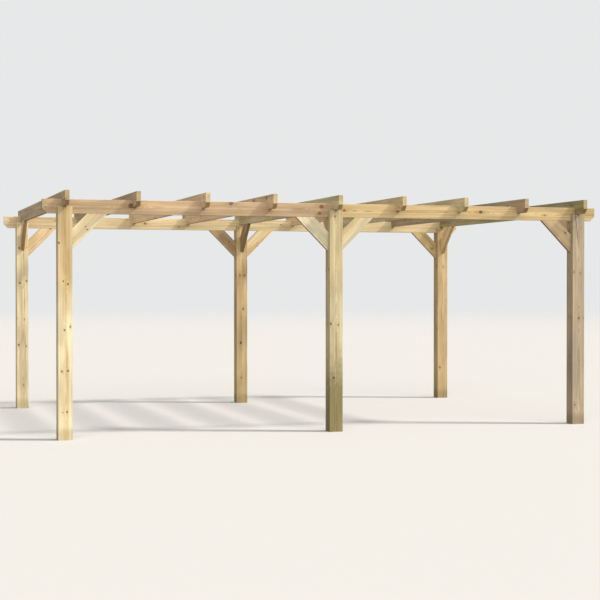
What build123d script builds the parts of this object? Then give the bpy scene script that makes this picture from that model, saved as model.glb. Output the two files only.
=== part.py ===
from build123d import *
import os

# Wooden pergola: six square posts, two beams in the post heads, nine rafters and fourteen braces.
# Millimetres, +Z up, front towards -Y. The origin is the middle of the plan, at ground level.

# Timber stock
post_width = 145.0
board_thickness = 45.0
board_width = 145.0
rafter_width = 150.0
post_arris = 4.0
board_arris = 3.0

# Frame layout
bay_length = 2860.0
row_spacing = 3885.0
rafters_per_bay = 4
beam_underside = 2275.0
beam_overhang = 150.0
rafter_overhang = 155.0

# Joints
slot_clearance = 0.5
notch_depth = 70.0
notch_clearance = 0.5
beam_joint_gap = 1.0
tongue_clearance = 5.0
brace_reach = 360.0
end_chamfer = 50.0

# Levels and places worked out from the sizes above
beam_top = beam_underside + board_width
rafter_underside = beam_top - notch_depth
tongue_top = rafter_underside - tongue_clearance
beam_end = bay_length + post_width / 2 + beam_overhang
rafter_end = row_spacing / 2 + post_width / 2 + rafter_overhang
post_places = {"left": -bay_length, "middle": 0.0, "right": bay_length}
row_places = {"front": -row_spacing / 2, "back": row_spacing / 2}
row_inward = {"front": Vector(0, 1, 0), "back": Vector(0, -1, 0)}
up = Vector(0, 0, 1)

os.makedirs("parts", exist_ok=True)


def save(piece, name):
    piece.label = name
    export_step(piece, f"parts/{name}.step")


# A post is planed square with eased arrises. A slot is sawn across its head for the beam,
# which leaves a tongue in front of the beam and one behind it.
def make_post(x, y):
    with BuildPart() as post:
        with BuildSketch(Plane((x, y, 0))):
            RectangleRounded(post_width, post_width, post_arris)
        extrude(amount=tongue_top)
        with BuildSketch(Plane((x, y, beam_underside))):
            Rectangle(post_width, board_thickness + 2 * slot_clearance)
        extrude(amount=tongue_top - beam_underside, mode=Mode.SUBTRACT)
    return post.part


# A beam is two boards that meet in the middle post's slot. Each runs out past an end post,
# where the lower corner is sawn off.
def make_beam_half(y, direction):
    along = Vector(direction, 0, 0)
    middle_level = beam_underside + board_width / 2
    cut_start = along * (beam_end - end_chamfer) + up * beam_underside
    with BuildPart() as beam:
        with BuildSketch(Plane((0, y, middle_level), x_dir=(0, 1, 0), z_dir=along)):
            RectangleRounded(board_thickness, board_width, board_arris)
        extrude(amount=beam_end)
        split(bisect_by=Plane(along * (beam_joint_gap / 2), z_dir=along), keep=Keep.TOP)
        split(bisect_by=Plane(cut_start, z_dir=along - up), keep=Keep.BOTTOM)
    return beam.part


# A rafter is notched from below, so that it drops over both beams and can't slide.
# Both ends run out past the beams, with the lower corner sawn off as on the beams.
def make_rafter(x):
    middle_level = rafter_underside + rafter_width / 2
    with BuildPart() as rafter:
        with BuildSketch(Plane((x, 0, middle_level), x_dir=(1, 0, 0), z_dir=(0, -1, 0))):
            RectangleRounded(board_thickness, rafter_width, board_arris)
        extrude(amount=rafter_end, both=True)
        with BuildSketch(Plane((x, 0, rafter_underside))):
            with GridLocations(0, row_spacing, 1, 2):
                Rectangle(board_thickness, board_thickness + 2 * notch_clearance)
        extrude(amount=notch_depth, mode=Mode.SUBTRACT)
        for inward in row_inward.values():
            cut_start = inward * (end_chamfer - rafter_end) + up * rafter_underside
            split(bisect_by=Plane(cut_start, z_dir=inward + up), keep=Keep.TOP)
    return rafter.part


# A brace is a board at 45 degrees, sawn at both ends to sit flat on a post and under the timber
# that it props. The corner is where those two faces meet, and the brace leaves it along `away`.
# Its lower edge runs between the points one reach along each face, so the middle of its section
# lies half a width back from there, which at 45 degrees is the width over root 8 each way.
def make_brace(corner, away):
    middle = corner + (away - up) * (brace_reach / 2 - board_width / 8**0.5)
    with BuildPart() as brace:
        with BuildSketch(Plane(middle, x_dir=away - up, z_dir=away + up)):
            RectangleRounded(board_width, board_thickness, board_arris)
        extrude(amount=brace_reach, both=True)
        split(bisect_by=Plane(corner, z_dir=away), keep=Keep.TOP)
        split(bisect_by=Plane(corner, z_dir=up), keep=Keep.BOTTOM)
    return brace.part


# Posts
for row, y in row_places.items():
    for place, x in post_places.items():
        save(make_post(x, y), f"post_{row}_{place}")

# Beams
for row, y in row_places.items():
    save(make_beam_half(y, -1), f"beam_{row}_left")
    save(make_beam_half(y, 1), f"beam_{row}_right")

# Rafters, numbered from the left: one over each pair of posts, the rest spaced evenly between
for index in range(2 * rafters_per_bay + 1):
    x = -bay_length + index * bay_length / rafters_per_bay
    save(make_rafter(x), f"rafter_{index + 1}")

# Braces under the beams, on each side of a post that faces another post of its row
beam_braces = {
    "left": ("left", 1),
    "middle_left": ("middle", -1),
    "middle_right": ("middle", 1),
    "right": ("right", -1),
}
for row, y in row_places.items():
    for name, (place, direction) in beam_braces.items():
        away = Vector(direction, 0, 0)
        corner = Vector(post_places[place], y, beam_underside) + away * (post_width / 2)
        save(make_brace(corner, away), f"brace_{row}_{name}")

# Braces under the rafters that lie over posts, on the side of each post that faces the other row
for row, y in row_places.items():
    for place, x in post_places.items():
        away = row_inward[row]
        corner = Vector(x, y, rafter_underside) + away * (post_width / 2)
        save(make_brace(corner, away), f"cross_brace_{row}_{place}")
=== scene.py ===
# %% [markdown]
# # A timber pergola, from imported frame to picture
#
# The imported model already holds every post, beam, rafter and brace at its real size, as separate
# named pieces. What it lacks is wood. This lesson gives each board its own piece of a pine tree,
# adds the screws that hold the frame together, and lights it the way the photograph is lit.
#
# Everything is in metres. The origin is the middle of the plan, at floor level, with the long
# side along X, the depth along Y and the height along Z.

# %% Load the frame
import math
import random

import bmesh
import bpy
from mathutils import Matrix, Vector


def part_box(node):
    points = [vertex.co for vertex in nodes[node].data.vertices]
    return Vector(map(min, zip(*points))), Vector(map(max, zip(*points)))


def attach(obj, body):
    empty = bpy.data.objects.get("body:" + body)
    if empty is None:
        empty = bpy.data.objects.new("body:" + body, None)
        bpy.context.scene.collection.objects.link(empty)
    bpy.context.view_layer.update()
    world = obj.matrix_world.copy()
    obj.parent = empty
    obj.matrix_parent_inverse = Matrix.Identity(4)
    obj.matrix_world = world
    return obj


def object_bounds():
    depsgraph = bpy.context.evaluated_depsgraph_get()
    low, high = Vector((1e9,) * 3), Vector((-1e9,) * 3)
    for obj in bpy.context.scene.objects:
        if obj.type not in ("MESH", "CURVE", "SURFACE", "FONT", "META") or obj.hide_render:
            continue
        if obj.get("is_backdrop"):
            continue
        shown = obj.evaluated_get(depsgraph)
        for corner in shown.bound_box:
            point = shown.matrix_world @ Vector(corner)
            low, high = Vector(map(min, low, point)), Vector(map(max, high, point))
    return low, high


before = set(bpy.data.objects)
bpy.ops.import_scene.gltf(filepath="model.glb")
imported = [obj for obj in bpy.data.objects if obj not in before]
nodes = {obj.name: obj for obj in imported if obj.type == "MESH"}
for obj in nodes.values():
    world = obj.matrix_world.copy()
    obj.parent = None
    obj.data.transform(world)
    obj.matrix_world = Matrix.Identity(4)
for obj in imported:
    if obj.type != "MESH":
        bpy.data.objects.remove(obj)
cad_box = [list(corner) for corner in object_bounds()]
print("pieces in the frame:", len(nodes))
print("size of the frame:", [round(high - low, 3) for low, high in zip(*cad_box)])

# %% [markdown]
# ## The camera
#
# The camera comes first, because every choice after it is judged through it. Its place was worked
# out from the photograph: six posts, two beams and nine rafter ends are enough to solve for where
# the lens stood. It stood at eye level, left of the frame's middle, and looked a little to the
# right. The picture is square, so the lens length is all that sets how much of the scene it takes.

# %% The camera
eye = Vector((-4.835, -16.321, 1.560))
look_right = math.radians(17.214)
look_down = math.radians(0.615)

camera = bpy.data.objects.new("camera", bpy.data.cameras.new("camera"))
camera.data.sensor_width = 36.0
camera.data.lens = 85.5
camera.data.clip_end = 300.0
camera.location = eye
camera.rotation_euler = (math.radians(90) - look_down, 0.0, -look_right)
bpy.context.scene.collection.objects.link(camera)
bpy.context.scene.camera = camera
print("eye level:", round(eye.z, 3), "m, lens:", camera.data.lens, "mm")

# %% [markdown]
# ## Small helpers for node trees
#
# A material is a tree of nodes. Written out one link at a time, a tree for wood would take several
# hundred lines, so a few helpers carry the load. `put` adds a node and fills its inputs, whether
# with plain values or with the outputs of other nodes. `calc` does arithmetic, and the rest are
# sums that turn up again and again.

# %% Nodes and arithmetic
def fill(tree, socket, value):
    if isinstance(value, bpy.types.NodeSocket):
        tree.links.new(value, socket)
    else:
        socket.default_value = value


def put(tree, kind, inputs=None, **settings):
    node = tree.nodes.new(kind)
    for name, value in settings.items():
        setattr(node, name, value)
    for name, value in (inputs or {}).items():
        fill(tree, node.inputs[name], value)
    return node.outputs


def calc(tree, operation, *values):
    return put(tree, "ShaderNodeMath", dict(enumerate(values)), operation=operation)[0]


def total(tree, *values):
    result = values[0]
    for value in values[1:]:
        result = calc(tree, "ADD", result, value)
    return result


def product(tree, *values):
    result = values[0]
    for value in values[1:]:
        result = calc(tree, "MULTIPLY", result, value)
    return result


def length_of(tree, one, other):
    return calc(tree, "SQRT", total(tree, product(tree, one, one), product(tree, other, other)))


def vector(tree, *parts):
    return put(tree, "ShaderNodeCombineXYZ", dict(enumerate(parts)))[0]


print("helpers: put and fill for nodes, calc, total, product, length_of and vector for sums")

# %% [markdown]
# Wood is made of masks and noises. `ramp` turns a number into a mask with soft edges, `blend` paints
# one colour over another through such a mask, and `noise` gives the unevenness that grown things
# have. `sway` uses it to push a value to and fro.

# %% Masks, colours and noise
def ramp(tree, value, start, end, low=0.0, high=1.0):
    """low up to start, high from end on, and a smooth change between the two."""
    if start > end:
        start, end, low, high = end, start, high, low
    inputs = {"Value": value, "From Min": start, "From Max": end, "To Min": low, "To Max": high}
    return put(tree, "ShaderNodeMapRange", inputs, interpolation_type="SMOOTHSTEP")[0]


def blend(tree, amount, under, over, way="MIX"):
    node = tree.nodes.new("ShaderNodeMix")
    node.data_type = "RGBA"
    node.blend_type = way
    fill(tree, node.inputs[0], amount)
    fill(tree, node.inputs[6], under)
    fill(tree, node.inputs[7], over)
    return node.outputs[2]


def noise(tree, where, scale, detail):
    inputs = {"Vector": where, "Scale": scale, "Detail": detail}
    return put(tree, "ShaderNodeTexNoise", inputs)[0]


def noise_along(tree, where, scale=1.0, detail=2.0):
    inputs = {"W": where, "Scale": scale, "Detail": detail}
    return put(tree, "ShaderNodeTexNoise", inputs, noise_dimensions="1D")


def sway(tree, luck, reach, middle):
    """middle, moved either way by luck, which runs from 0 to 1: by half the reach at most."""
    return calc(tree, "MULTIPLY_ADD", calc(tree, "SUBTRACT", luck, 0.5), reach, middle)


def paint(red, green, blue):
    """A colour given on the usual 0 to 255 scale, as the linear values that light needs."""
    levels = [level / 255.0 for level in (red, green, blue)]
    linear = [level / 12.92 if level <= 0.04045 else ((level + 0.055) / 1.055) ** 2.4 for level in levels]
    return (*linear, 1.0)


print("fresh pine as light values:", [round(level, 3) for level in paint(222, 203, 166)])

# %% [markdown]
# `shader_group` starts a reusable group with named inputs and outputs, so that an effect such as a
# knot is described once. `place` puts that group into another tree, and `passed_on` hands it the
# values that the outer group was given.

# %% Groups
def shader_group(name, inputs, outputs):
    tree = bpy.data.node_groups.new(name, "ShaderNodeTree")
    for socket_name, value in inputs.items():
        kind = {3: "Vector", 4: "Color"}[len(value)] if isinstance(value, tuple) else "Float"
        socket = tree.interface.new_socket(socket_name, in_out="INPUT", socket_type="NodeSocket" + kind)
        socket.default_value = value
    for socket_name in outputs:
        kind = "Color" if socket_name == "Color" else "Float"
        tree.interface.new_socket(socket_name, in_out="OUTPUT", socket_type="NodeSocket" + kind)
    return tree, tree.nodes.new("NodeGroupInput").outputs, tree.nodes.new("NodeGroupOutput").inputs


def place(tree, group, inputs):
    node = tree.nodes.new("ShaderNodeGroup")
    node.node_tree = group
    for name, value in inputs.items():
        fill(tree, node.inputs[name], value)
    return node.outputs


def passed_on(given, names):
    return {name: given[name] for name in names}


print("helpers for groups: shader_group, place and passed_on")

# %% [markdown]
# ## Knots
#
# A pine puts out its branches in whorls: five or six at one height, then half a metre of clear stem.
# A knot is one such branch seen in a cut face, so it is a cone that starts at the pith, the middle
# of the stem, and widens outwards while it climbs a little. Described that way, in the board's own
# space, one formula gives round knots on a face, long spike knots on an edge and pairs of knots on
# a post, and the faces always agree at the corners.
#
# In every group below, Along runs with the grain from the middle of the board, and Across and
# Through are measured from the pith. The first group answers one question: how many knot radii is
# this point from one branch? It starts with luck. Disorder says how far whorls and branches stray
# from their even places. A board may have one known whorl, which the photograph shows, and be freer
# elsewhere.

# %% The luck of one branch
board_point = {"Along": 0.0, "Across": 0.0, "Through": 0.0, "Seed": 0.0}
whorl_values = {
    "Whorl Spacing": 0.45,
    "Whorl Turn": 0.0,
    "Knot Size": 0.012,
    "Disorder": 1.0,
    "Known Whorl": 0.0,
    "Disorder Elsewhere": 0.0,
}
knot_facts = ("Radii Away", "Grain Away", "Boldness", "Check")

branch_group, given, result = shader_group(
    "branch", {**board_point, **whorl_values, "Whorl": 0.0, "Branch": 0.0}, knot_facts
)
tree = branch_group
# The whorl throws its own dice, in a place that none of its branches uses.
whorl_dice = 9.0
whorl_key = vector(tree, given["Whorl"], whorl_dice, given["Seed"])
whorl_luck = put(tree, "ShaderNodeTexWhiteNoise", {"Vector": whorl_key})["Value"]
branch_key = vector(tree, given["Whorl"], given["Branch"], given["Seed"])
branch_luck = put(tree, "ShaderNodeTexWhiteNoise", {"Vector": branch_key})
luck = put(tree, "ShaderNodeSeparateColor", {0: branch_luck["Color"]})

from_known = calc(tree, "ABSOLUTE", calc(tree, "SUBTRACT", given["Whorl"], given["Known Whorl"]))
elsewhere = product(tree, calc(tree, "GREATER_THAN", from_known, 0.5), given["Disorder Elsewhere"])
disorder = calc(tree, "MAXIMUM", given["Disorder"], elsewhere)
print("values that shape the whorls of a board:", len(whorl_values))

# %% [markdown]
# The branch leaves the pith at its whorl and climbs as it grows outwards. A point of the board is
# then described by how far outward it lies, how far sideways from the branch, and how far off its
# axis along the grain.

# %% Which way it grows
branches_in_whorl = 6
uneven_share = 0.7
whorl_slip = 0.25
branch_stagger = 0.04
climb = 0.35


def beside_ray(tree, given, direction):
    """How far a point lies outward along a ray from the pith, and how far sideways from the ray."""
    cosine = calc(tree, "COSINE", direction)
    sine = calc(tree, "SINE", direction)
    outward = total(tree, product(tree, given["Across"], cosine), product(tree, given["Through"], sine))
    turned_back = product(tree, given["Across"], sine)
    return outward, calc(tree, "SUBTRACT", product(tree, given["Through"], cosine), turned_back)


own_turn = product(tree, luck[0], uneven_share)
uneven_turn = total(tree, own_turn, product(tree, whorl_luck, branches_in_whorl))
turned_by = total(tree, given["Branch"], given["Whorl Turn"], product(tree, uneven_turn, disorder))
direction = product(tree, turned_by, 2 * math.pi / branches_in_whorl)
outward, sideways = beside_ray(tree, given, direction)

slip = product(tree, calc(tree, "SUBTRACT", whorl_luck, 0.5), disorder)
whorl_place = calc(tree, "MULTIPLY_ADD", slip, whorl_slip, given["Whorl"])
stagger = product(tree, calc(tree, "SUBTRACT", luck[1], 0.5), branch_stagger)
start = calc(tree, "MULTIPLY_ADD", whorl_place, given["Whorl Spacing"], stagger)
climbed = calc(tree, "MULTIPLY_ADD", outward, climb, start)
off_axis = calc(tree, "SUBTRACT", given["Along"], climbed)
print("branches in a whorl:", branches_in_whorl)

# %% [markdown]
# The question is answered twice. Radii Away is measured as it is. Grain Away is measured with the
# length of the board shrunk, because the fibres flow round a knot in the shape of a spindle, much
# longer than it is wide. A branch is thin where it starts, some are strong and some weak, and one in
# four never grew. That one, and the side of the pith that a branch turns its back on, are put far
# away.

# %% How far away it is
far_away = 40.0
never_grew = 0.25
full_grown = 0.08
first_width = 0.4
least_vigour = 0.35
growth = ramp(tree, outward, 0.0, full_grown, first_width, 1.0)
vigour = calc(tree, "ADD", luck[2], least_vigour)
radius = product(tree, given["Knot Size"], growth, vigour)
behind = product(tree, calc(tree, "LESS_THAN", outward, 0.0), far_away)
missing = product(tree, calc(tree, "LESS_THAN", branch_luck["Value"], never_grew), far_away)
for name, shrunk in (("Radii Away", 0.75), ("Grain Away", 0.3)):
    distance = length_of(tree, product(tree, off_axis, shrunk), sideways)
    fill(tree, result[name], total(tree, calc(tree, "DIVIDE", distance, radius), behind, missing))
print("a branch has its full width", full_grown, "m from the pith")

# %% [markdown]
# Boldness is low for a thin branch, because it leaves a knot that is hardly darker than the wood
# round it. Check is the wavering line where a large knot has split across the middle as it dried.

# %% Boldness and check
fill(tree, result["Boldness"], ramp(tree, luck[2], 0.0, 0.6, 0.4, 1.0))
check_waver = 0.008
check_turn = product(tree, luck[1], math.pi)
check_along = product(tree, off_axis, calc(tree, "COSINE", check_turn))
check_side = product(tree, sideways, calc(tree, "SINE", check_turn))
uneven_line = noise_along(tree, product(tree, off_axis, 160.0), scale=5.0)[0]
from_line = sway(tree, uneven_line, check_waver, check_along)
from_check = calc(tree, "ABSOLUTE", calc(tree, "ADD", from_line, check_side))
thin_line = ramp(tree, calc(tree, "DIVIDE", from_check, radius), 0.07, 0.02)
large_enough = ramp(tree, radius, 0.012, 0.016)
fill(tree, result["Check"], product(tree, thin_line, large_enough))
print("nodes in the branch group:", len(tree.nodes))

# %% [markdown]
# The second group finds the nearest whorl along the board and keeps the nearest of its branches,
# with that branch's boldness and check. Under 1 is inside a knot, about 1 is its dark rim of bark,
# and a little more is the wood that had to grow round it.

# %% All the knots of a board
knots_group, given, result = shader_group("knots", {**board_point, **whorl_values}, knot_facts)
tree = knots_group
whorl = calc(tree, "ROUND", calc(tree, "DIVIDE", given["Along"], given["Whorl Spacing"]))
shared = passed_on(given, (*board_point, *whorl_values))
nearest = {"Radii Away": far_away, "Grain Away": far_away, "Boldness": 0.0, "Check": 0.0}
for branch in range(branches_in_whorl):
    one = place(tree, branch_group, {**shared, "Whorl": whorl, "Branch": float(branch)})
    closer = calc(tree, "LESS_THAN", one["Radii Away"], nearest["Radii Away"])
    for name in ("Boldness", "Check"):
        change = product(tree, closer, calc(tree, "SUBTRACT", one[name], nearest[name]))
        nearest[name] = calc(tree, "ADD", nearest[name], change)
    for name in ("Radii Away", "Grain Away"):
        nearest[name] = calc(tree, "MINIMUM", nearest[name], one[name])
for name, value in nearest.items():
    fill(tree, result[name], value)
print("nodes in the knots group:", len(tree.nodes))

# %% [markdown]
# ## Growth rings
#
# Each year adds a pale layer of spring wood and a thin brown layer of summer wood. The layers are
# tubes round the pith, so the ring number at a point is its distance from the pith divided by the
# ring width. A sawn face cuts those tubes lengthwise: near the outside of the stem it shows straight
# lines, and through the middle it shows the pointed arches that everyone knows as wood grain. The
# pith wanders, the stem tapers and the rings swell round each knot, and those three small
# disturbances turn clean arches into real ones.

# %% How far from the pith
pith_wander = 0.03
ring_wave = 0.007
stem_taper = 0.006
knot_swelling = 0.014
rings_group, given, result = shader_group(
    "growth_rings",
    {**board_point, "Ring Width": 0.0045, "Grain Away": far_away},
    ("Summer Wood", "Pith Distance"),
)
tree = rings_group
slowly = calc(tree, "MULTIPLY_ADD", given["Along"], 0.55, given["Seed"])
drift = put(tree, "ShaderNodeSeparateColor", {0: noise_along(tree, slowly)["Color"]})
across = sway(tree, drift[0], pith_wander, given["Across"])
through = sway(tree, drift[1], pith_wander, given["Through"])
pith_distance = length_of(tree, across, through)
fill(tree, result["Pith Distance"], pith_distance)

uneven_place = vector(
    tree,
    calc(tree, "MULTIPLY_ADD", given["Along"], 2.2, given["Seed"]),
    product(tree, given["Across"], 14.0),
    product(tree, given["Through"], 14.0),
)
waved = sway(tree, noise(tree, uneven_place, 1.0, 3.0), ring_wave, pith_distance)
tapered = calc(tree, "MULTIPLY_ADD", given["Along"], stem_taper, waved)
near_knot = calc(tree, "EXPONENT", product(tree, given["Grain Away"], given["Grain Away"], -0.16))
swollen = calc(tree, "MULTIPLY_ADD", near_knot, -knot_swelling, tapered)
print("the pith wanders up to", pith_wander / 2, "m either way")

# %% [markdown]
# Dividing by the ring width gives years. Good and bad years come in runs, which draws rings closer
# and wider, and each year's summer wood has its own strength. It darkens slowly through the season
# and ends at a sharp line, where the next spring begins.

# %% Years and seasons
years = calc(tree, "DIVIDE", swollen, given["Ring Width"])
good_years = noise_along(tree, calc(tree, "MULTIPLY_ADD", years, 0.33, given["Seed"]))[0]
calendar = calc(tree, "MULTIPLY_ADD", good_years, 1.6, years)
season = calc(tree, "FRACT", calendar)
summer = product(tree, ramp(tree, season, 0.3, 0.9), ramp(tree, season, 1.0, 0.93))
this_year = total(tree, calc(tree, "FLOOR", calendar), given["Seed"])
strength = put(tree, "ShaderNodeTexWhiteNoise", {"W": this_year}, noise_dimensions="1D")["Value"]
fill(tree, result["Summer Wood"], product(tree, summer, calc(tree, "MULTIPLY_ADD", strength, 0.6, 0.4)))
print("nodes in the growth rings group:", len(tree.nodes))

# %% [markdown]
# ## Fibres and streaks
#
# Between the rings, wood is made of fibres that run with the grain, so their pattern is a noise
# that is squeezed hard across the board and stretched along it. Three widths are enough: hair-fine
# fibres for a close look, streaks a finger wide, which are what the eye picks up from some way off,
# and soft blotches where the board took up its preservative unevenly.

# %% Fibres and streaks
fibre_group, given, result = shader_group("fibres", board_point, ("Fibre", "Streak", "Blotch"))
tree = fibre_group
for name, along_scale, side_scale, detail in (
    ("Fibre", 9.0, 620.0, 2.0),
    ("Streak", 0.8, 42.0, 3.0),
    ("Blotch", 1.6, 7.0, 2.0),
):
    stretched = vector(
        tree,
        calc(tree, "MULTIPLY_ADD", given["Along"], along_scale, given["Seed"]),
        calc(tree, "MULTIPLY_ADD", given["Across"], side_scale, given["Seed"]),
        product(tree, given["Through"], side_scale),
    )
    fill(tree, result[name], ramp(tree, noise(tree, stretched, 1.0, detail), 0.3, 0.7))
print("nodes in the fibres group:", len(tree.nodes))

# %% [markdown]
# ## Drying cracks
#
# A post holds the whole heart of its tree, and as it dries its outside shrinks more than its
# middle, so it splits. A drying crack is a thin wedge that points at the pith: it runs with the
# grain, wavers a little, opens where the noise is high and closes again. One possible crack for
# each side of the post is enough, and the noise decides where each of them opens. Many trees grow
# with a slight twist, and their cracks climb round the post, so the spiral is a value of its own.

# %% Drying cracks
crack_values = {"Crack Width": 0.0015, "Crack Turn": 0.0, "Crack Spiral": 0.0}
crack_waver = 0.008
hairline = 0.0001
cracks_group, given, result = shader_group("drying_cracks", {**board_point, **crack_values}, ("Crack",))
tree = cracks_group
twist = product(tree, given["Along"], given["Crack Spiral"])
cracks = 0.0
for side in range(4):
    turn = total(tree, given["Crack Turn"], twist, side * math.pi / 2)
    outward, sideways = beside_ray(tree, given, turn)
    place_along = total(tree, product(tree, given["Along"], 1.1), given["Seed"], side * 7.3)
    opening = ramp(tree, noise_along(tree, place_along, detail=1.0)[0], 0.5, 0.62)
    waver = noise_along(tree, product(tree, place_along, 4.0), detail=4.0)[0]
    from_line = calc(tree, "ABSOLUTE", sway(tree, waver, crack_waver, sideways))
    clear_of_pith = ramp(tree, outward, 0.02, 0.06)
    half_width = product(tree, given["Crack Width"], 0.5, opening, clear_of_pith)
    inside = calc(tree, "LESS_THAN", from_line, half_width)
    crack = product(tree, inside, calc(tree, "GREATER_THAN", half_width, hairline))
    cracks = calc(tree, "MAXIMUM", cracks, crack)
fill(tree, result["Crack"], cracks)
print("nodes in the drying cracks group:", len(tree.nodes))

# %% [markdown]
# ## Weather and painted shade
#
# A garden frame shows where the sky and the rain reach it. Dust and pollen settle on faces that look up.
# Faces that look down are darkened with painted shade, which also stands for the brown of fresh treatment
# that the sun never bleaches. Rain that splashes up keeps the feet of the posts damp, dark and greenish.
# All three depend on where a face is in the garden and which way it looks, not on the board.

# %% Weather and painted shade
weather_values = {"Garden Place": (0.0, 0.0, 0.0), "Garden Normal": (0.0, 0.0, 1.0), "Damp Height": 0.15}
weather_and_shade_group, given, result = shader_group("weather_and_shade", weather_values, ("Dust", "Underside Shade", "Damp"))
tree = weather_and_shade_group
looks_up = put(tree, "ShaderNodeSeparateXYZ", {0: given["Garden Normal"]})[2]
patches = noise(tree, given["Garden Place"], 6.0, 4.0)
dust = product(tree, ramp(tree, looks_up, 0.3, 0.95), ramp(tree, patches, 0.3, 0.7, 0.5, 1.0))
fill(tree, result["Dust"], dust)
# Painted shade: faces that look down are marked to be darkened.
fill(tree, result["Underside Shade"], ramp(tree, looks_up, -0.3, -0.65))
height = put(tree, "ShaderNodeSeparateXYZ", {0: given["Garden Place"]})[2]
splashes = product(tree, noise(tree, given["Garden Place"], 18.0, 3.0), 0.4)
reach = calc(tree, "DIVIDE", height, given["Damp Height"])
fill(tree, result["Damp"], ramp(tree, total(tree, reach, splashes), 1.25, 0.6))
print("nodes in the weather group:", len(tree.nodes))

# %% [markdown]
# ## One group for the whole board
#
# Now the effects come together. The order follows the life of the wood: it grows, is sawn and
# treated, dries, is handled, and stands in the weather. The group puts out a colour, a roughness
# and a height in metres, and leaves the shader itself to each material.
#
# Its inputs are the board's own place and normal, the place and normal in the garden, and all that makes
# one board differ from another. Half Across and Half Through are half the board's section, and the input
# for the far end says how much painted shade darkens the board there and turns it golden.

# %% Inputs of the board
pine_group, given, result = shader_group(
    "garden_pine",
    {
        "Board Place": (0.0, 0.0, 0.0),
        "Board Normal": (0.0, 0.0, 1.0),
        "Seed": 0.0,
        "Grain Seed": 0.0,
        "Painted End Shade": 0.0,
        "Pith Across": 0.0,
        "Pith Through": 0.0,
        "Half Across": 0.0725,
        "Half Through": 0.0725,
        "Ring Width": 0.0045,
        "Whorl Shift": 0.0,
        **whorl_values,
        **crack_values,
        **weather_values,
        "Green": 0.2,
        "Damp": 0.4,
        "Spring Wood": paint(222, 203, 166),
        "Summer Wood": paint(188, 156, 110),
        "Heart Tint": paint(244, 222, 192),
        "Knot Wood": paint(122, 93, 52),
    },
    ("Color", "Roughness", "Height"),
)
tree = pine_group
place_parts = put(tree, "ShaderNodeSeparateXYZ", {0: given["Board Place"]})
point = {
    "Along": calc(tree, "SUBTRACT", place_parts[0], given["Whorl Shift"]),
    "Across": calc(tree, "SUBTRACT", place_parts[1], given["Pith Across"]),
    "Through": calc(tree, "SUBTRACT", place_parts[2], given["Pith Through"]),
    "Seed": given["Seed"],
}
print("inputs of the garden pine group:", len([socket for socket in given if socket.name]))

# %% [markdown]
# The groups from above are placed here. The grain has a seed of its own on top of the board's, so
# that a board can change its rings and fibres while its knots stay where they are. A knot is never
# quite round, so a little noise wobbles its edge.

# %% Effects of the board
around = place(tree, knots_group, {**point, **passed_on(given, whorl_values)})
wobble = noise(tree, given["Board Place"], 70.0, 1.0)
knots = product(tree, around["Radii Away"], calc(tree, "MULTIPLY_ADD", wobble, 0.3, 0.85))
grain = {**point, "Seed": total(tree, given["Seed"], given["Grain Seed"])}
ring_inputs = {"Ring Width": given["Ring Width"], "Grain Away": around["Grain Away"]}
rings = place(tree, rings_group, {**grain, **ring_inputs})
fibres = place(tree, fibre_group, grain)
crack = place(tree, cracks_group, {**grain, **passed_on(given, crack_values)})["Crack"]
weather_and_shade = place(tree, weather_and_shade_group, passed_on(given, weather_values))
print("effects placed: knots, rings, fibres, cracks and weather")

# %% [markdown]
# As it grew: spring and summer wood, the warmer heart, and streaks that lighten and darken it. The
# treatment leaves a green tint in patches. Painted shade may make a board darker and more golden towards
# its far end.

# %% Grown and treated, with painted shade at the far end
treatment_green = paint(206, 208, 160)
end_shade_tint = paint(228, 216, 196)
wood = blend(tree, product(tree, rings["Summer Wood"], 0.75), given["Spring Wood"], given["Summer Wood"])
heart_edge = calc(tree, "MULTIPLY_ADD", fibres["Blotch"], 0.015, rings["Pith Distance"])
heart = ramp(tree, heart_edge, 0.062, 0.048, 0.0, 0.5)
wood = blend(tree, heart, wood, given["Heart Tint"], "MULTIPLY")
for name, darkest, palest in (("Streak", 0.86, 1.1), ("Fibre", 0.92, 1.05), ("Blotch", 0.87, 1.08)):
    shade = ramp(tree, fibres[name], 0.0, 1.0, darkest, palest)
    wood = blend(tree, 1.0, wood, shade, "MULTIPLY")
green_patches = product(tree, given["Green"], ramp(tree, fibres["Blotch"], 0.0, 1.0, 1.2, 0.5))
wood = blend(tree, green_patches, wood, treatment_green, "MULTIPLY")
# Painted shade: darker and more golden towards the far end of the board.
end_shade = product(tree, given["Painted End Shade"], ramp(tree, place_parts[0], 0.1, 0.5))
wood = blend(tree, end_shade, wood, end_shade_tint, "MULTIPLY")
print("nodes so far:", len(tree.nodes))

# %% [markdown]
# Each knot is a halo of dense wood, then the knot with small rings of its own, a rim of bark, and
# in a large one the dark line of its check.

# %% Knots in the wood
bark = paint(74, 54, 32)
deep_in_a_crack = paint(58, 38, 26)
halo = product(tree, ramp(tree, around["Grain Away"], 2.4, 0.8), 0.55)
wood = blend(tree, halo, wood, given["Summer Wood"])
knot_rings = ramp(tree, calc(tree, "FRACT", product(tree, knots, 4.0)), 0.2, 0.9, 1.25, 0.75)
knot_color = blend(tree, 1.0, given["Knot Wood"], knot_rings, "MULTIPLY")
inside_knot = ramp(tree, knots, 1.06, 0.9)
wood = blend(tree, product(tree, inside_knot, around["Boldness"]), wood, knot_color)
rim = product(tree, ramp(tree, knots, 0.78, 0.95), ramp(tree, knots, 1.14, 1.02))
wood = blend(tree, product(tree, rim, around["Boldness"], 0.85), wood, bark)
knot_check = product(tree, around["Check"], ramp(tree, knots, 0.85, 0.6))
wood = blend(tree, product(tree, knot_check, 0.8), wood, deep_in_a_crack)
print("nodes so far:", len(tree.nodes))

# %% [markdown]
# End grain has soaked up more of the treatment, and keeps the arcs of the saw blade. Cracks go dark
# because no light comes back out of them.

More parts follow.
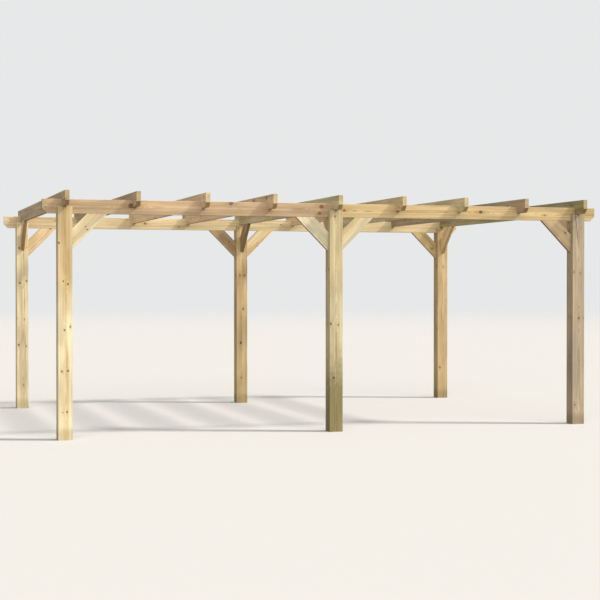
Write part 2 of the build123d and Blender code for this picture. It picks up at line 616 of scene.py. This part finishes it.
# %% Sawn and dried
soaked_wood = paint(206, 186, 146)
end_tint = paint(236, 236, 228)
blade_axle = (0.0, 0.31, 0.12)
tooth_step = 0.0024
across_grain = calc(tree, "ABSOLUTE", put(tree, "ShaderNodeSeparateXYZ", {0: given["Board Normal"]})[0])
end_grain = ramp(tree, across_grain, 0.35, 0.65)
wood = blend(tree, product(tree, end_grain, 0.35), wood, soaked_wood)
wood = blend(tree, end_grain, wood, end_tint, "MULTIPLY")
to_axle = {0: given["Board Place"], 1: blade_axle}
from_axle = put(tree, "ShaderNodeVectorMath", to_axle, operation="DISTANCE")["Value"]
saw_marks = calc(tree, "SINE", product(tree, from_axle, 2 * math.pi / tooth_step))
wood = blend(tree, product(tree, crack, 0.9), wood, deep_in_a_crack)
print("the saw left a mark every", tooth_step, "m")

# %% [markdown]
# Hands and tools wear the corners, which lose their outermost fibres and turn pale. Then comes the weather,
# with painted shade: dust above, painted shade underneath, damp at the foot.

# %% Handled, weathered and painted shade
worn_wood = paint(226, 204, 168)
dust_color = paint(178, 168, 148)
underside_shade_tint = paint(212, 194, 160)
damp_tint = paint(158, 150, 112)
to_corner = calc(
    tree,
    "MAXIMUM",
    calc(tree, "SUBTRACT", given["Half Across"], calc(tree, "ABSOLUTE", place_parts[1])),
    calc(tree, "SUBTRACT", given["Half Through"], calc(tree, "ABSOLUTE", place_parts[2])),
)
ragged = calc(tree, "MULTIPLY_ADD", fibres["Streak"], 0.004, to_corner)
worn = product(tree, ramp(tree, ragged, 0.008, 0.002), calc(tree, "SUBTRACT", 1.0, end_grain))
wood = blend(tree, product(tree, worn, 0.3), wood, worn_wood)
wood = blend(tree, product(tree, weather_and_shade["Dust"], 0.35), wood, dust_color)
# Painted shade: faces that look down turn a darker brown.
wood = blend(tree, product(tree, weather_and_shade["Underside Shade"], 0.8), wood, underside_shade_tint, "MULTIPLY")
wood = blend(tree, product(tree, weather_and_shade["Damp"], given["Damp"]), wood, damp_tint, "MULTIPLY")
fill(tree, result["Color"], wood)
print("nodes so far:", len(tree.nodes))

# %% [markdown]
# Light also needs to know how smooth and how level the wood is. Knots are hard and plane smooth, end
# grain and dust are rough. The heights are in metres: summer wood, fibres and knots stand a little
# proud, and saw marks, checks and cracks are cut in.

# %% Roughness and height
roughness_parts = ((end_grain, 0.22), (weather_and_shade["Dust"], 0.1), (inside_knot, -0.14), (fibres["Fibre"], 0.08))
height_parts = (
    (rings["Summer Wood"], 0.00018),
    (fibres["Fibre"], 0.00008),
    (inside_knot, 0.0004),
    (knot_check, -0.001),
    (product(tree, end_grain, saw_marks), 0.00012),
    (crack, -0.003),
)
roughness = total(tree, 0.6, *(product(tree, mask, amount) for mask, amount in roughness_parts))
height = total(tree, *(product(tree, mask, amount) for mask, amount in height_parts))
fill(tree, result["Roughness"], roughness)
fill(tree, result["Height"], height)
print("nodes in the garden pine group:", len(tree.nodes))

# %% [markdown]
# ## How each board lies
#
# A pattern that runs with the grain has to know which way each board points. Each piece gets three
# directions: along the grain, across its wide face, and through its thickness. The middle of the
# board comes from the frame itself, so nothing here repeats a size.
#
# The braces stand at 45 degrees, so their grain runs up and away from the post. Their end cuts slope
# across the grain, and the end-grain mask in the group above turns on part of the way there.

# %% How each board lies
def named(start):
    return [name for name in nodes if name.startswith(start)]


x_way, y_way, z_way = Vector((1, 0, 0)), Vector((0, 1, 0)), Vector((0, 0, 1))
post_names = named("post")
beam_names = named("beam")
rafter_names = named("rafter")
brace_names = named("brace") + named("cross_brace")
box_middle = {name: (Vector(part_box(name)[0]) + Vector(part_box(name)[1])) / 2 for name in nodes}
print("posts, beams, rafters, braces:", *map(len, (post_names, beam_names, rafter_names, brace_names)))

# %% [markdown]
# Posts stand, beams run along the long side and rafters run from front to back. A brace leans away
# from the post that it leaves, so that post gives its directions.

# %% Three directions for each board
def nearest_post(name):
    return min(post_names, key=lambda post: (box_middle[post].xy - box_middle[name].xy).length)


def board_ways(name):
    """The three directions of a board: along its grain, across its width, through its thickness."""
    if name in post_names:
        return z_way, x_way, y_way
    if name in beam_names:
        return x_way, z_way, -y_way
    if name in rafter_names:
        return y_way, z_way, x_way
    away = box_middle[name] - box_middle[nearest_post(name)]
    away.z = 0.0
    away.normalize()
    along = (away + z_way).normalized()
    across = (z_way - away).normalized()
    return along, across, along.cross(across)


def half_section(name):
    """Half the width and half the thickness of a board, in metres."""
    if name in brace_names:
        return half_section(beam_names[0])
    low, high = (Vector(corner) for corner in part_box(name))
    along, across, through = board_ways(name)
    return abs((high - low).dot(across)) / 2, abs((high - low).dot(through)) / 2


middle_of = dict(box_middle)
for name in brace_names:
    # The long edge of a brace runs through the middle of its box, so the board lies half its width in.
    middle_of[name] = box_middle[name] + board_ways(name)[1] * half_section(name)[0]
for name in (post_names[0], beam_names[0], rafter_names[0], brace_names[0]):
    print(name, "half section:", [round(half, 4) for half in half_section(name)])

# %% [markdown]
# ## The boards, one by one
#
# No two boards in the photograph match, and that is most of what makes it read as timber. So the
# first table holds the tones that pine takes on: for each, the colour of its spring wood and of its
# summer wood.

# %% Tones of the boards
board_tones = {
    "cream": (paint(230, 215, 179), paint(200, 176, 132)),
    "pale": (paint(214, 203, 172), paint(184, 165, 127)),
    "straw": (paint(222, 205, 167), paint(192, 164, 118)),
    "rosy": (paint(222, 196, 156), paint(187, 151, 109)),
    "blush": (paint(233, 207, 166), paint(198, 163, 119)),
    # Yellow and pinkish are darkened in part as painted shade, for the two halves of the front beam.
    "yellow": (paint(197, 173, 127), paint(166, 133, 87)),
    "pinkish": (paint(190, 163, 129), paint(156, 122, 88)),
    "greenish": (paint(207, 193, 156), paint(172, 154, 111)),
    "honey": (paint(209, 189, 148), paint(180, 152, 105)),
    # Grey is darker in part as painted shade, for the right front post.
    "grey": (paint(181, 163, 137), paint(147, 126, 99)),
    "brown": (paint(196, 172, 137), paint(162, 131, 94)),
    # Taupe and olive are darker in part as painted shade, for rafters 8 and 9.
    "taupe": (paint(176, 154, 122), paint(144, 118, 85)),
    "olive": (paint(182, 170, 132), paint(150, 134, 92)),
}
print("tones:", *board_tones)

# %% [markdown]
# The second table gives what can be seen from the camera. The left half of the front beam is a pinkish
# board with large knots, and the right half is yellow and streaky; both tones are darkened in part as
# painted shade. The left post has its knots in pairs, and painted shade makes it darker and more golden
# towards its head. The middle post is greenish, painted shade makes it darker and more golden towards its
# head, and it is darker and greener from about a metre down to the floor. The right post is grey, a tone
# darkened in part as painted shade, and a long crack climbs round its head. The back middle post has dark
# knots.
#
# Where the pith lies decides what the grain looks like. Posts hold it inside, so they show arches
# and cracks on every face. Boards are cut beside it, so they show arches on their wide faces and
# straight lines on their edges. Seed decides where branches grow, and was picked so that the knots
# fall where the photograph has them.

# %% Boards seen in the photograph
seen_boards = {
    "beam_front_left": {
        "tone": "pinkish",
        "Seed": 195.66,
        "Grain Seed": 9.52,
        "Green": 0.1,
        "Pith Across": 0.0,
        "Pith Through": -0.045,
        "Whorl Spacing": 1.01,
        "Whorl Shift": 0.345,
        "Whorl Turn": 0.1,
        "Knot Size": 0.0175,
        "Knot Wood": paint(118, 88, 60),
        "Disorder": 0.3,
    },
    "beam_front_right": {
        "tone": "yellow",
        "Seed": 154.01,
        "Green": 0.1,
        "Pith Across": 0.0,
        "Pith Through": -0.05,
        "Whorl Spacing": 0.8,
        "Whorl Shift": 0.11,
        "Whorl Turn": 0.5,
        "Knot Size": 0.0135,
        "Knot Wood": paint(106, 80, 46),
        "Disorder": 0.2,
    },
    "post_front_left": {
        "tone": "cream",
        "Seed": 232.78,
        "Grain Seed": -37.22,
        # Painted shade, darker and more golden towards the head of the post.
        "Painted End Shade": 0.9,
        "Green": 0.15,
        "Pith Across": 0.0,
        "Pith Through": -0.03,
        "Whorl Spacing": 0.43,
        "Whorl Shift": -0.06,
        "Knot Size": 0.009,
        "Disorder": 0.6,
        "Crack Width": 0.0006,
    },
    "post_front_middle": {
        "tone": "greenish",
        "Seed": 91.35,
        "Grain Seed": 99.21,
        # Painted shade, darker and more golden towards the head of the post.
        "Painted End Shade": 0.45,
        "Green": 0.15,
        # Darker and greener from about a metre down to the floor.
        "Damp": 0.8,
        "Damp Height": 0.95,
        "Pith Across": 0.0,
        "Pith Through": 0.0,
        "Whorl Spacing": 0.57,
        "Whorl Shift": -0.05,
        "Whorl Turn": 0.67,
        "Knot Size": 0.007,
        "Disorder": 0.3,
        "Crack Turn": 0.0,
    },
    "post_front_right": {
        "tone": "grey",
        "Seed": 19.51,
        "Grain Seed": 6.74,
        "Green": 0.1,
        "Pith Across": 0.0,
        "Pith Through": 0.0,
        "Whorl Shift": 0.0,
        "Crack Width": 0.006,
        "Crack Turn": 1.08,
        "Crack Spiral": -1.36,
    },
    "post_back_left": {"tone": "straw", "Green": 0.1},
    "post_back_middle": {
        "tone": "yellow",
        "Seed": 172.42,
        "Grain Seed": -99.68,
        "Green": 0.0,
        "Pith Across": 0.0,
        "Pith Through": -0.02,
        "Whorl Spacing": 0.45,
        "Whorl Shift": 0.05,
        "Whorl Turn": 0.67,
        "Knot Size": 0.0115,
        "Knot Wood": paint(98, 70, 40),
        "Disorder": 0.1,
    },
    "post_back_right": {"tone": "yellow", "Green": 0.1},
    "beam_back_left": {"tone": "honey", "Green": 0.0},
    "beam_back_right": {"tone": "honey", "Green": 0.1},
    "brace_front_left": {"tone": "pale", "Green": 0.1},
    "brace_front_middle_left": {"tone": "pale", "Green": 0.12},
    "brace_front_middle_right": {"tone": "pale", "Green": 0.1},
    "brace_front_right": {"tone": "brown", "Green": 0.3},
    "rafter_1": {"tone": "brown", "Green": 0.1},
    "rafter_2": {"tone": "brown", "Green": 0.3},
    "rafter_5": {"tone": "greenish", "Green": 0.3},
    "rafter_7": {"tone": "straw", "Green": 0.3},
    "rafter_8": {"tone": "taupe", "Green": 0.0},
    "rafter_9": {"tone": "olive", "Green": 0.3},
}
print("boards that follow the photograph:", len(seen_boards))

# %% [markdown]
# Three more rafters show one knot each, on the left side near the front. The table gives its place
# along and across the rafter, and its size. A whorl is put there, and the other whorls of the board
# fall as they will.

# %% Rafters with a knot
knot_whorl = -4.0
rafter_whorl_spacing = 0.5
seen_knots = {
    "rafter_3": ("blush", -1.62, 0.035, 0.010),
    "rafter_4": ("rosy", -1.91, 0.026, 0.018),
    "rafter_6": ("rosy", -2.08, -0.039, 0.014),
}
for name, (tone, along, across, size) in seen_knots.items():
    seen_boards[name] = {
        "tone": tone,
        "Green": 0.0,
        "Pith Across": across,
        "Pith Through": 0.04,
        "Whorl Spacing": rafter_whorl_spacing,
        "Whorl Shift": along - knot_whorl * rafter_whorl_spacing,
        "Whorl Turn": 0.5,
        "Knot Size": size,
        "Disorder": 0.1,
        "Known Whorl": knot_whorl,
        "Disorder Elsewhere": 1.0,
    }
print("rafters with a knot in a known place:", *seen_knots)

# %% [markdown]
# The rest is left to a dice, seeded with the board's name, so the back of the frame is as varied as
# its front and comes out the same each time. What the tables say is laid over the throws.

# %% Values of a board
def board_values(name):
    dice = random.Random("timber of " + name)
    half_across, half_through = half_section(name)
    values = {
        "tone": dice.choice(list(board_tones)),
        "Seed": dice.uniform(0.0, 60.0),
        "Half Across": half_across,
        "Half Through": half_through,
        "Ring Width": dice.uniform(0.0035, 0.006),
        "Whorl Shift": dice.uniform(-0.2, 0.2),
        "Whorl Spacing": dice.uniform(0.38, 0.6),
        "Knot Size": dice.uniform(0.007, 0.012),
        "Green": dice.uniform(0.05, 0.3),
    }
    if name in post_names:
        values["Pith Across"] = dice.uniform(-0.02, 0.02)
        values["Pith Through"] = dice.uniform(-0.03, 0.03)
        values["Crack Width"] = dice.uniform(0.0015, 0.003)
        values["Crack Turn"] = dice.uniform(-0.4, 0.4)
        values["Crack Spiral"] = dice.uniform(-0.4, 0.4)
    else:
        values["Pith Across"] = dice.uniform(-0.05, 0.05)
        values["Pith Through"] = dice.choice((-1, 1)) * dice.uniform(0.03, 0.08)
        values["Crack Width"] = 0.0005
        values["Crack Turn"] = dice.uniform(0.0, 1.5)
    values.update(seen_boards.get(name, {}))
    return values


for key, value in board_values("beam_back_left").items():
    print("back beam, left half:", key, value if key == "tone" else round(value, 4))

# %% [markdown]
# Each board then gets one material: its place and its normal are turned into the board's own
# directions by two Mapping nodes, the shared group does the rest, and a plain Principled shader
# takes the result. Planed and treated pine is matt, with a faint soft gloss where the light grazes.

# %% One material for each board
soft_gloss = 0.35
relief_strength = 0.8


def pine_for(name):
    values = board_values(name)
    spring, summer = board_tones[values.pop("tone")]
    along, across, through = board_ways(name)
    turn = Matrix((along, across, through)).transposed().to_euler()

    material = bpy.data.materials.new("pine_" + name)
    material.use_nodes = True
    tree = material.node_tree
    shader = tree.nodes["Principled BSDF"]
    where = put(tree, "ShaderNodeTexCoord")
    board_place = put(
        tree,
        "ShaderNodeMapping",
        {"Vector": where["Object"], "Location": middle_of[name], "Rotation": turn},
        vector_type="TEXTURE",
    )[0]
    board_normal = put(
        tree, "ShaderNodeMapping", {"Vector": where["Normal"], "Rotation": turn}, vector_type="TEXTURE"
    )[0]
    wood = place(
        tree,
        pine_group,
        {
            "Board Place": board_place,
            "Board Normal": board_normal,
            "Garden Place": where["Object"],
            "Garden Normal": where["Normal"],
            "Spring Wood": spring,
            "Summer Wood": summer,
            **values,
        },
    )
    relief = {"Height": wood["Height"], "Distance": 1.0, "Strength": relief_strength}
    bump = put(tree, "ShaderNodeBump", relief)[0]
    fill(tree, shader.inputs["Base Color"], wood["Color"])
    fill(tree, shader.inputs["Roughness"], wood["Roughness"])
    fill(tree, shader.inputs["Normal"], bump)
    shader.inputs["Specular IOR Level"].default_value = soft_gloss
    return material


for name, board in nodes.items():
    material = pine_for(name)
    board.data.materials.clear()
    board.data.materials.append(material)
print("boards with their own wood:", len(nodes))

# %% [markdown]
# ## The screws
#
# The joints are cut to hold the timbers in place, and screws keep them there. The photograph shows
# none of them from the front, so they are modelled as what a carpenter would use: flat-headed
# outdoor screws with a six-lobed recess, 12 mm across the head, driven until the head sits on the
# wood.
#
# First the head itself. It is a closed shape lofted through rings of points: the rim, the flat top,
# and the lobed recess, which stops just above the wood because a solid board is behind it.

# %% One screw head
head_radius = 0.006
head_height = 0.0012
seated_depth = 0.0004
recess_radius = 0.0027
recess_lobes = 6
lobe_depth = 0.16
points_round = 24


def screw_head():
    shape = bmesh.new()
    # Each ring is a radius, how deep its lobes are, and a height above the wood.
    outline = (
        (head_radius, 0.0, -seated_depth),
        (head_radius, 0.0, head_height * 0.55),
        (head_radius * 0.93, 0.0, head_height),
        (recess_radius, lobe_depth, head_height),
        (recess_radius * 0.9, lobe_depth, head_height * 0.25),
    )
    loops = []
    for radius, lobes, level in outline:
        loop = []
        for step in range(points_round):
            angle = step * 2 * math.pi / points_round
            reach = radius * (1.0 + lobes * math.cos(recess_lobes * angle))
            loop.append(shape.verts.new((reach * math.cos(angle), reach * math.sin(angle), level)))
        loops.append(loop)
    for lower, upper in zip(loops, loops[1:]):
        for step in range(points_round):
            after = (step + 1) % points_round
            shape.faces.new((lower[step], lower[after], upper[after], upper[step]))
    shape.faces.new(list(reversed(loops[0])))
    shape.faces.new(loops[-1])
    mesh = bpy.data.meshes.new("screw_head")
    shape.to_mesh(mesh)
    shape.free()
    return bpy.data.objects.new("screw_head", mesh)


head = screw_head()
print("faces of one screw head:", len(head.data.polygons))

# %% [markdown]
# Where the screws go follows from the joints, and from good manners: a carpenter drives them from
# the side that no one looks at. Each brace has one near each end, through its long lower edge into
# the post and into the beam. Each post head holds a beam in its slot, or two beam halves on a middle
# post, and screws through its inner cheek keep them there. Each rafter sits over both beams in its
# notches, with a slanted screw through its right side just above each beam.
#
# A screw here is only a point and the direction that its head looks. A brace's length runs corner to
# corner in its box, so half its long edge comes from the height of the box.

# %% Screws in the braces
from_brace_end = 0.09
brace_screws = []
for name in brace_names:
    along, across, through = board_ways(name)
    half_across, half_through = half_section(name)
    low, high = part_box(name)
    half_edge = (high[2] - low[2]) * math.sqrt(2) / 2
    lower_edge = middle_of[name] - across * half_across
    for end in (-1, 1):
        brace_screws.append((lower_edge + along * end * (half_edge - from_brace_end), -across))
print("screws in the braces:", len(brace_screws))

# %% Screws in the post heads
beside_brace = 0.048
beam_low, beam_high = (corner[2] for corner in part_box(beam_names[0]))
post_screws = []
for name in post_names:
    low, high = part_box(name)
    inner_face = min(low[1], high[1], key=abs)
    inward = y_way if inner_face < 0 else -y_way
    for x in (-beside_brace, beside_brace):
        spot = Vector((middle_of[name].x + x, inner_face, (beam_low + high[2]) / 2))
        post_screws.append((spot, inward))
print("screws in the post heads:", len(post_screws))

# %% Screws in the rafters
above_beam = 0.028
rafter_screws = []
for name in rafter_names:
    low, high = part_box(name)
    for row in sorted({round(middle_of[beam].y, 4) for beam in beam_names}):
        rafter_screws.append((Vector((high[0], row, beam_high + above_beam)), x_way))
print("screws in the rafters:", len(rafter_screws))

# %% [markdown]
# Geometry Nodes put a head on every point, turn it to face outwards and give each a different twist,
# as no one lines up the recesses. The heads become real faces at the end of the tree, and then the
# whole set is turned into a plain mesh.

# %% Inputs of the screw tree
screw_metal = bpy.data.materials.new("coated_screws")
screw_tree = bpy.data.node_groups.new("screw_heads", "GeometryNodeTree")


def screw_input(name, kind):
    return screw_tree.interface.new_socket(name, in_out="INPUT", socket_type="NodeSocket" + kind)


screw_input("Geometry", "Geometry")
head_socket = screw_input("Head", "Object")
metal_socket = screw_input("Metal", "Material")
size_socket = screw_input("Size", "Float")
seed_socket = screw_input("Seed", "Int")
screw_tree.interface.new_socket("Geometry", in_out="OUTPUT", socket_type="NodeSocketGeometry")
inside = screw_tree.nodes.new("NodeGroupInput").outputs
finished = screw_tree.nodes.new("NodeGroupOutput").inputs
print("inputs of the screw tree:", *[socket.name for socket in inside if socket.name])

# %% Screw heads on every point
facing = put(screw_tree, "GeometryNodeInputNamedAttribute", {"Name": "facing"}, data_type="FLOAT_VECTOR")
turned = put(screw_tree, "FunctionNodeAlignRotationToVector", {"Vector": facing["Attribute"]}, axis="Z")
turn_limits = {"Min": 0.0, "Max": 2 * math.pi, "Seed": inside["Seed"]}
twist = put(screw_tree, "FunctionNodeRandomValue", turn_limits, data_type="FLOAT")
twist_value = next(socket for socket in twist if socket.enabled)
about_z = vector(screw_tree, 0.0, 0.0, twist_value)
turns = {"Rotation": turned[0], "Rotate By": about_z}
twisted = put(screw_tree, "FunctionNodeRotateRotation", turns, rotation_space="LOCAL")[0]
head_info = put(screw_tree, "GeometryNodeObjectInfo", {"Object": inside["Head"]})["Geometry"]
instances = {
    "Points": inside["Geometry"],
    "Instance": head_info,
    "Rotation": twisted,
    "Scale": inside["Size"],
}
on_points = put(screw_tree, "GeometryNodeInstanceOnPoints", instances)[0]
real = put(screw_tree, "GeometryNodeRealizeInstances", {"Geometry": on_points})[0]
coated = put(screw_tree, "GeometryNodeSetMaterial", {"Geometry": real, "Material": inside["Metal"]})[0]
fill(screw_tree, finished["Geometry"], coated)
print("nodes in the screw tree:", len(screw_tree.nodes))

# %% [markdown]
# The tree runs as a modifier on a cloud of points, once for the braces, once for the posts and once
# for the rafters. Its result is copied into a plain mesh, and the points with their modifier are
# thrown away. A size of 1 leaves the heads as they were modelled.

# %% Drive the screws
head_scale = 1.0


def drive_screws(piece_name, chosen, seed):
    mesh = bpy.data.meshes.new(piece_name + "_points")
    mesh.from_pydata([spot for spot, facing_way in chosen], [], [])
    facings = mesh.attributes.new("facing", "FLOAT_VECTOR", "POINT")
    for item, (spot, facing_way) in zip(facings.data, chosen):
        item.vector = facing_way
    holder = bpy.data.objects.new(piece_name + "_points", mesh)
    bpy.context.scene.collection.objects.link(holder)
    modifier = holder.modifiers.new("screws", "NODES")
    modifier.node_group = screw_tree
    modifier[head_socket.identifier] = head
    modifier[metal_socket.identifier] = screw_metal
    modifier[size_socket.identifier] = head_scale
    modifier[seed_socket.identifier] = seed
    depsgraph = bpy.context.evaluated_depsgraph_get()
    plain = bpy.data.meshes.new_from_object(holder.evaluated_get(depsgraph), depsgraph=depsgraph)
    plain.name = piece_name
    piece = bpy.data.objects.new(piece_name, plain)
    bpy.context.scene.collection.objects.link(piece)
    bpy.data.objects.remove(holder)
    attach(piece, "root")
    return piece


screw_pieces = {
    "screws_braces": (brace_screws, "brace_timber"),
    "screws_posts": (post_screws, "post_timber"),
    "screws_rafters": (rafter_screws, "rafter_timber"),
}
for number, (piece_name, (chosen, slot_name)) in enumerate(screw_pieces.items()):
    piece = drive_screws(piece_name, chosen, number)
    print(piece_name, "faces:", len(piece.data.polygons))
bpy.data.objects.remove(head)

# %% [markdown]
# The screws are steel with a baked-on coating for outdoor use, a dull brownish grey with tarnished
# patches and small specks where it has worn to brighter metal.

# %% Coated screw steel
screw_metal.use_nodes = True
tree = screw_metal.node_tree
shader = tree.nodes["Principled BSDF"]
where = put(tree, "ShaderNodeTexCoord")
coat = paint(126, 112, 92)
worn_coat = paint(98, 90, 78)
bright_metal = paint(150, 142, 128)
pit_depth = 0.00008
speckle = noise(tree, where["Object"], 900.0, 3.0)
tarnish = noise(tree, where["Object"], 90.0, 2.0)
coating = blend(tree, ramp(tree, tarnish, 0.35, 0.65), coat, worn_coat)
screw_color = blend(tree, ramp(tree, speckle, 0.55, 0.7), coating, bright_metal)
fill(tree, shader.inputs["Base Color"], screw_color)
fill(tree, shader.inputs["Roughness"], ramp(tree, speckle, 0.3, 0.7, 0.5, 0.34))
pitted = put(tree, "ShaderNodeBump", {"Height": speckle, "Distance": pit_depth})[0]
fill(tree, shader.inputs["Normal"], pitted)
shader.inputs["Metallic"].default_value = 0.75
print("screws:", len(brace_screws) + len(post_screws) + len(rafter_screws))

# %% [markdown]
# ## Floor and light
#
# The frame stands on a plain pale floor that fades into the background far away, so there is no
# horizon line behind the posts. A white floor would throw far more light up under the beams than
# the photograph shows. So the floor only looks pale: the light that bounces off it is that of a
# darker floor.

# %% The floor
floor_radius = 80.0
fade_starts = 22.0
fade_ends = 76.0
bounced_color = (0.26, 0.25, 0.24, 1.0)
seen_color = (0.53, 0.52, 0.505, 1.0)
bpy.ops.mesh.primitive_circle_add(vertices=128, radius=floor_radius, fill_type="NGON")
floor = bpy.context.object
floor.name = "floor"
floor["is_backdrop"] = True
floor_paint = bpy.data.materials.new("pale_floor")
floor_paint.use_nodes = True
tree = floor_paint.node_tree
shader = tree.nodes["Principled BSDF"]
seen = put(tree, "ShaderNodeLightPath")["Is Camera Ray"]
fill(tree, shader.inputs["Base Color"], blend(tree, seen, bounced_color, seen_color))
shader.inputs["Roughness"].default_value = 0.9
shader.inputs["Specular IOR Level"].default_value = 0.1
where = put(tree, "ShaderNodeTexCoord")
from_middle = put(tree, "ShaderNodeVectorMath", {0: where["Object"]}, operation="LENGTH")["Value"]
fill(tree, shader.inputs["Alpha"], ramp(tree, from_middle, fade_starts, fade_ends, 1.0, 0.0))
floor.data.materials.append(floor_paint)
print("floor radius:", floor_radius, "m")

# %% [markdown]
# In the photograph the sun stands high on the right and a little in front: the posts' shadows fall
# to the left, the left sides of the rafters are in shade, and the undersides of the beams are dark,
# while the open sky in front fills the faces that look at the camera. A soft lamp on the sun's side
# and a very wide one in front give the same modelling.

# %% Two lamps
def add_lamp(name, toward_lamp, strength, width, color):
    lamp = bpy.data.objects.new(name, bpy.data.lights.new(name, "SUN"))
    lamp.data.energy = strength
    lamp.data.angle = math.radians(width)
    lamp.data.color = color
    lamp.rotation_euler = Vector(toward_lamp).to_track_quat("Z", "Y").to_euler()
    bpy.context.scene.collection.objects.link(lamp)
    print(name, "strength", strength, "width", width, "degrees")


add_lamp("sun_side", (0.957, -0.36, 1.0), strength=4.0, width=7.0, color=(1.0, 0.95, 0.87))
add_lamp("front_fill", (-0.05, -1.0, 0.7), strength=2.25, width=70.0, color=(1.0, 0.98, 0.95))

# %% [markdown]
# A dim, slightly blue glow from all round keeps the shadows open, as a sky does. The camera sees a
# plain pale grey in its place.

# %% Glow and backdrop
glow_color = (0.95, 0.975, 1.0, 1.0)
glow_strength = 0.46
backdrop_grey = (0.80, 0.81, 0.815, 1.0)
world = bpy.data.worlds.new("studio_glow")
bpy.context.scene.world = world
world.use_nodes = True
tree = world.node_tree
glow = tree.nodes["Background"]
glow.inputs["Color"].default_value = glow_color
glow.inputs["Strength"].default_value = glow_strength
backdrop = tree.nodes.new("ShaderNodeBackground")
backdrop.inputs["Color"].default_value = backdrop_grey
mixer = tree.nodes.new("ShaderNodeMixShader")
fill(tree, mixer.inputs[0], put(tree, "ShaderNodeLightPath")["Is Camera Ray"])
fill(tree, mixer.inputs[1], glow.outputs[0])
fill(tree, mixer.inputs[2], backdrop.outputs[0])
fill(tree, tree.nodes["World Output"].inputs["Surface"], mixer.outputs[0])
bpy.context.scene.view_settings.view_transform = "Standard"
bpy.context.scene.view_settings.look = "None"
print("glow strength:", glow_strength)

# %% [markdown]
# ## Sizes, and the end
#
# The box of the imported frame and the box of the dressed frame are both kept. Nothing added
# here may make the frame bigger.

# %% Sizes
size = {"cad": cad_box, "visual": [list(corner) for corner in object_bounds()]}
print("size of the dressed frame:", [round(high - low, 4) for low, high in zip(*size["visual"])])
